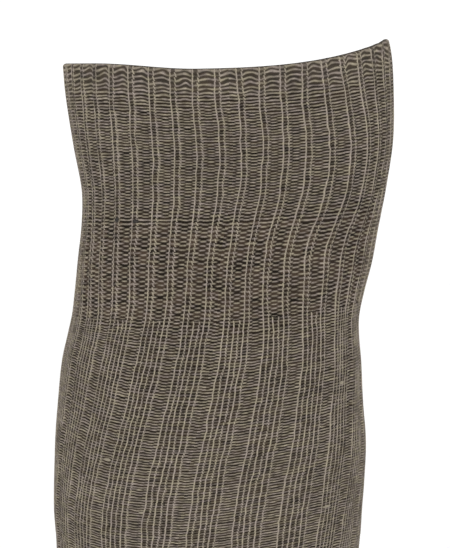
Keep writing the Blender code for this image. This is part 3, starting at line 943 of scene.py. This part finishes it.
heel_material = knit_material("heel_yarn", PLAIN, PLAIN_ZIGZAG)
station = np.concatenate([np.linspace(0, 44.99, 151), np.linspace(45.01, 90, 150)])[:, None]
back_needle = needle_columns(HALF_ROUND, NEEDLES, 3)
from_edge = np.minimum(back_needle - HALF_ROUND, NEEDLES - back_needle)
gore = GORE_RISE * np.exp(-((station - 45) / GORE_WIDTH) ** 2)
gore = gore * smooth(0, 1.5, from_edge) * (1 - smooth(GORE_END - 2, GORE_END, from_edge))
heel = foot_cloth("heel_cloth", back_needle, station, heel_chart, PLAIN, 0.0, PLAIN_STEP,
                  PLAIN_CLOSED, heel_material, gore)
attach(heel, "root")
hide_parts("heel")

# ---------------------------------------------------------------------------------------
# The sole: the back half of the tube in plain knit, from the heel to the toe. It is made
# of the same yarn, and is flattened underneath.
# ---------------------------------------------------------------------------------------
SOLE_START = LEG_END - HEEL_MID_COURSES


def sole_chart(needle, station):
    """Courses even along the foot."""
    return needle, SOLE_START - (station - 90) / FOOT_PITCH


sole_material = knit_material("sole_yarn", PLAIN, PLAIN_ZIGZAG)
sole = foot_cloth("sole_cloth", back_needle, foot_stations, sole_chart, PLAIN, 0.0, PLAIN_STEP,
                  PLAIN_CLOSED, sole_material)
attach(sole, "root")
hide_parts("sole")

# ---------------------------------------------------------------------------------------
# The toe: a closed plain pocket of narrowed rows, with a seam line down either side where
# wales end, and a linked seam across its top where it was closed.
# ---------------------------------------------------------------------------------------
TOE_START = SOLE_START - FOOT_COURSES
TIP_OUTER, TIP_INNER = (TOE_TIP, 0.0, -375.0), (190.6, 0.0, -375.0)
SIDE_SEAM_WIDTH = 0.5        # half width of a side seam in needles
TOE_SEAM_RISE, TOE_SEAM_PLACE, TOE_SEAM_WIDTH = 0.8, 1.6, 0.7    # millimetres from TOE_LINE
FINE = 16                    # places to a needle where the way round is measured
TOE_ROWS = 96


def run_along(places):
    """The way run along places in a row, from 0 at the first."""
    steps = np.linalg.norm(np.diff(places, axis=-2), axis=-1)
    return np.concatenate([0 * steps[..., :1], np.cumsum(steps, axis=-1)], axis=-1)


def toe_chart(needle, station):
    """Wales run straight ahead over the top and under the sole, and end at the sides.

    A place's needle is its way round the section from the middle of the top or of the
    underside, measured in the stitches of the section where the toe begins.
    """
    ring = np.linspace(0, NEEDLES, FINE * NEEDLES + 1)[None, :]
    run = run_along(foot_place(ring, station, 0.0))
    top = needle < HALF_ROUND
    middle = np.where(top, NEEDLES // 4, 3 * NEEDLES // 4)
    index = np.round(needle * FINE).astype(int)
    way = run[:, index[0]] - run[:, FINE * middle[0]]
    first = run_along(foot_place(ring, foot_stations[-1:], 0.0))[0]
    quarter = np.where(top, first[FINE * (NEEDLES // 4)],
                       first[-1] - first[FINE * (3 * NEEDLES // 4)])
    return middle + way / quarter * (NEEDLES // 4), TOE_START - reach(station) / FOOT_PITCH


def reach(station):
    """The way along the top of the toe from where it begins to each station."""
    return np.interp(station, toe_stations, toe_reaches)


toe_stations = 90 + np.linspace(TOE_LINE - PIVOT_X, TOE_TIP - PIVOT_X, 400)
toe_reaches = run_along(foot_place(np.full(400, NEEDLES / 4), toe_stations, 0.0))
toe_length = toe_reaches[-1]
station = np.interp(np.linspace(0, toe_length, TOE_ROWS + 1), toe_reaches, toe_stations)[:, None]
needle = np.concatenate([
    np.linspace(0, HALF_ROUND - 0.01, 133), np.linspace(HALF_ROUND + 0.01, NEEDLES, 132)])[None, :]
from_side = np.minimum(np.abs(needle - HALF_ROUND), np.minimum(needle, NEEDLES - needle))
side_seam = GORE_RISE * np.exp(-(from_side / SIDE_SEAM_WIDTH) ** 2)
side_seam = side_seam * smooth(0, 3, reach(station))
linked = np.exp(-((reach(station) - TOE_SEAM_PLACE) / TOE_SEAM_WIDTH) ** 2)
linked = TOE_SEAM_RISE * linked * smooth(-0.5, 1.5, needle)
linked = linked * (1 - smooth(HALF_ROUND - 1.5, HALF_ROUND + 0.5, needle))
end = smooth(0, 4, toe_length - reach(station))
chart = np.broadcast_arrays(*toe_chart(needle, station))
stand = (relief(*chart, PLAIN, 0.0, FOOT_SWAY) + side_seam) * end + linked
toe_outer = foot_side(needle, station, chart, stand, PLAIN_CLOSED)
needle, station = strided(needle, PLAIN_STEP), strided(station, PLAIN_STEP)
toe_inner = foot_side(needle, station, toe_chart(needle, station), -CLOTH, PLAIN_CLOSED)
# The last inner row is drawn half way to the tip, and no place lies ahead of it.
toe_inner["place"][-1] = (toe_inner["place"][-1] + TIP_INNER) / 2
toe_inner["place"][..., 0] = np.minimum(toe_inner["place"][..., 0], TIP_INNER[0])
toe_material = knit_material("toe_yarn", PLAIN, PLAIN_ZIGZAG)
toe = make_cloth("toe_cloth", toe_outer, toe_inner, PLAIN_STEP, True, toe_material,
                 (TIP_OUTER, TIP_INNER))
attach(toe, "root")
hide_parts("toe")

# ---------------------------------------------------------------------------------------
# Camera: a long lens level with the rim, square to the sock's side, on its top part.
# ---------------------------------------------------------------------------------------
PIXEL = 0.372                 # millimetres in the sock's middle plane to one pixel
PICTURE_HEIGHT = 548          # of the picture, in pixels
SENSOR = 36.0
CAMERA_AWAY, CAMERA_HEIGHT = 2000.0, 97.0
AIM = (3.7, 0.0, 17.1)
camera_data = bpy.data.cameras.new("camera")
camera = add_object("camera", camera_data)
bpy.context.scene.camera = camera
drop = CAMERA_HEIGHT - AIM[2]
camera.location = (AIM[0] * MM, -CAMERA_AWAY * MM, CAMERA_HEIGHT * MM)
camera.rotation_euler = (math.pi / 2 - math.atan2(drop, CAMERA_AWAY), 0.0, 0.0)
camera_data.sensor_width = SENSOR
camera_data.lens = SENSOR * math.hypot(drop, CAMERA_AWAY) / (PIXEL * PICTURE_HEIGHT)

# ---------------------------------------------------------------------------------------
# Room: a plain pale floor just under the sole, white surroundings and soft studio lamps.
# ---------------------------------------------------------------------------------------
world = bpy.data.worlds.new("studio")
bpy.context.scene.world = world
world.use_nodes = True
background = world.node_tree.nodes["Background"]
background.inputs["Color"].default_value = (1.0, 1.0, 1.0, 1.0)
background.inputs["Strength"].default_value = 1.1


def soft_lamp(name, place, size, power):
    """A square area lamp at a place, turned towards the origin."""
    lamp_data = bpy.data.lights.new(name, "AREA")
    lamp_data.size = size
    lamp_data.energy = power
    lamp = add_object(name, lamp_data)
    lamp.location = place
    x, y, z = place
    lamp.rotation_euler = (math.atan2(math.hypot(x, y), z), 0.0, math.atan2(x, -y))


soft_lamp("key_lamp", (-0.9, -1.5, 1.3), 1.2, 9.0)
soft_lamp("fill_lamp", (1.4, -1.2, 0.6), 1.4, 4.0)
FLOOR_GAP = 0.6
FLOOR_HALF = 12.0             # metres
floor_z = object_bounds()[0][2] - FLOOR_GAP * MM
floor_mesh = bpy.data.meshes.new("floor")
floor_mesh.from_pydata(
    [(x * FLOOR_HALF, y * FLOOR_HALF, floor_z) for x, y in ((-1, -1), (1, -1), (1, 1), (-1, 1))],
    [], [(0, 1, 2, 3)])
floor_material = bpy.data.materials.new("floor_paint")
floor_material.use_nodes = True
floor_shader = floor_material.node_tree.nodes["Principled BSDF"]
floor_shader.inputs["Base Color"].default_value = (0.94, 0.94, 0.94, 1.0)
floor_shader.inputs["Roughness"].default_value = 0.8
floor_mesh.materials.append(floor_material)
floor = add_object("floor", floor_mesh)
bpy.context.scene.view_settings.view_transform = "Standard"
